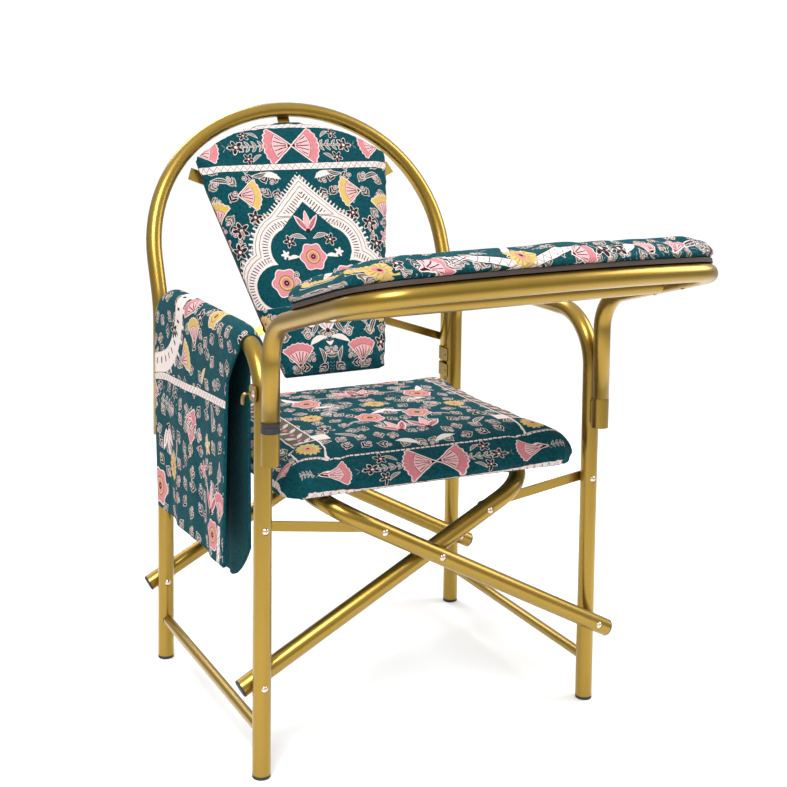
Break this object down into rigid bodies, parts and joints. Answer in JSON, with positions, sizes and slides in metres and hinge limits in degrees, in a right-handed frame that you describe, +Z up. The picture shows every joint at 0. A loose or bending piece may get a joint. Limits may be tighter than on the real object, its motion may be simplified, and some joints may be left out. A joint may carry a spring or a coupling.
{
  "type": "folding prayer chair",
  "caption": "Folding tubular prayer chair with a scissor frame, padded seat and back, a swing-away prostration desk and a cloth arm cover.",
  "frame": {"origin": "on the floor, midway in width between the side frames and midway between the desk's front and the hoop's rear", "axes": "+Z up, +Y towards the back, +X to the right as seen from in front of the desk"},
  "size_m": [0.5972, 0.9213, 0.8962],
  "materials": {
    "gold_paint": "satin gold metallic",
    "bright_rivets": "polished",
    "black_rubber": "matt",
    "printed_fabric": "woven print on teal",
    "dark_board": "dark plywood"
  },
  "bodies": {
    "left_frame": {"left_side_frame": "gold_paint", "left_stretcher": "gold_paint", "left_feet": "black_rubber", "left_desk_socket": "gold_paint", "left_desk_pin": "gold_paint", "left_pivot_rivets": "bright_rivets", "left_link_rivets": "bright_rivets", "left_back_clips": "gold_paint", "bag_hook": "gold_paint", "hook_screw": "bright_rivets", "arm_cover": "printed_fabric", "desk_ring": "black_rubber"},
    "cross_a": {"cross_tube_a": "gold_paint", "cross_a_caps": "black_rubber", "cross_a_studs": "bright_rivets"},
    "cross_b": {"cross_tube_b": "gold_paint", "cross_b_caps": "black_rubber", "cross_b_studs": "bright_rivets", "centre_rivets": "bright_rivets"},
    "right_frame": {"right_side_frame": "gold_paint", "right_stretcher": "gold_paint", "right_feet": "black_rubber", "right_desk_socket": "gold_paint", "right_pivot_rivets": "bright_rivets", "right_link_rivets": "bright_rivets", "right_back_clips": "gold_paint"},
    "left_links": {"left_front_link": "gold_paint", "left_rear_link": "gold_paint", "left_link_tails": "bright_rivets"},
    "right_links": {"right_front_link": "gold_paint", "right_rear_link": "gold_paint", "right_link_tails": "bright_rivets"},
    "seat": {"seat_sling": "printed_fabric", "seat_cushion": "printed_fabric"},
    "backrest": {"back_hoop": "gold_paint", "back_board": "dark_board", "back_pad": "printed_fabric", "left_back_strap": "gold_paint", "right_back_strap": "gold_paint", "back_screws": "bright_rivets", "back_tabs": "gold_paint"},
    "desk": {"desk_frame": "gold_paint", "desk_cross_tube": "gold_paint", "desk_board": "dark_board", "desk_pad": "printed_fabric", "desk_screws": "bright_rivets"}
  },
  "joints": [
    {"name": "fold", "type": "hinge", "parent": "left_frame", "child": "cross_a", "pos_m": [-0.271, 0.09084, 0.128], "axis": [0, -1, 0], "range_deg": [0, 42]},
    {"name": "centre_turn", "type": "hinge", "parent": "cross_a", "child": "cross_b", "pos_m": [0, 0.09084, 0.27209], "axis": [0, -1, 0], "range_deg": [-84, 0]},
    {"name": "right_pivot_turn", "type": "hinge", "parent": "cross_b", "child": "right_frame", "pos_m": [0.271, 0.09084, 0.128], "axis": [0, -1, 0], "range_deg": [0, 42]},
    {"name": "left_link_turn", "type": "hinge", "parent": "left_frame", "child": "left_links", "pos_m": [-0.271, 0.09084, 0.347], "axis": [0, -1, 0], "range_deg": [0, 75.8]},
    {"name": "right_link_turn", "type": "hinge", "parent": "right_frame", "child": "right_links", "pos_m": [0.271, 0.09084, 0.347], "axis": [0, -1, 0], "range_deg": [-75.8, 0]},
    {"name": "seat_level", "type": "hinge", "parent": "cross_a", "child": "seat", "pos_m": [0.17129, 0.09084, 0.36317], "axis": [0, -1, 0], "range_deg": [-42, 0], "deforming": ["seat_cushion", "seat_sling"]},
    {"name": "back_lift", "type": "slide", "parent": "seat", "child": "backrest", "axis": [0, 0, 1], "range_m": [0, 0.15]},
    {"name": "desk_swing", "type": "hinge", "parent": "left_frame", "child": "desk", "pos_m": [-0.271, -0.16196, 0.486], "axis": [0, 0, -1], "range_deg": [0, 100]}
  ],
  "couplings": [
    {"joint": "centre_turn", "follows": "fold", "ratio": -2},
    {"joint": "right_pivot_turn", "follows": "fold", "ratio": 1},
    {"joint": "left_link_turn", "follows": "fold", "ratio": 1.8033},
    {"joint": "right_link_turn", "follows": "fold", "ratio": -1.8033},
    {"joint": "seat_level", "follows": "fold", "ratio": -1}
  ]
}
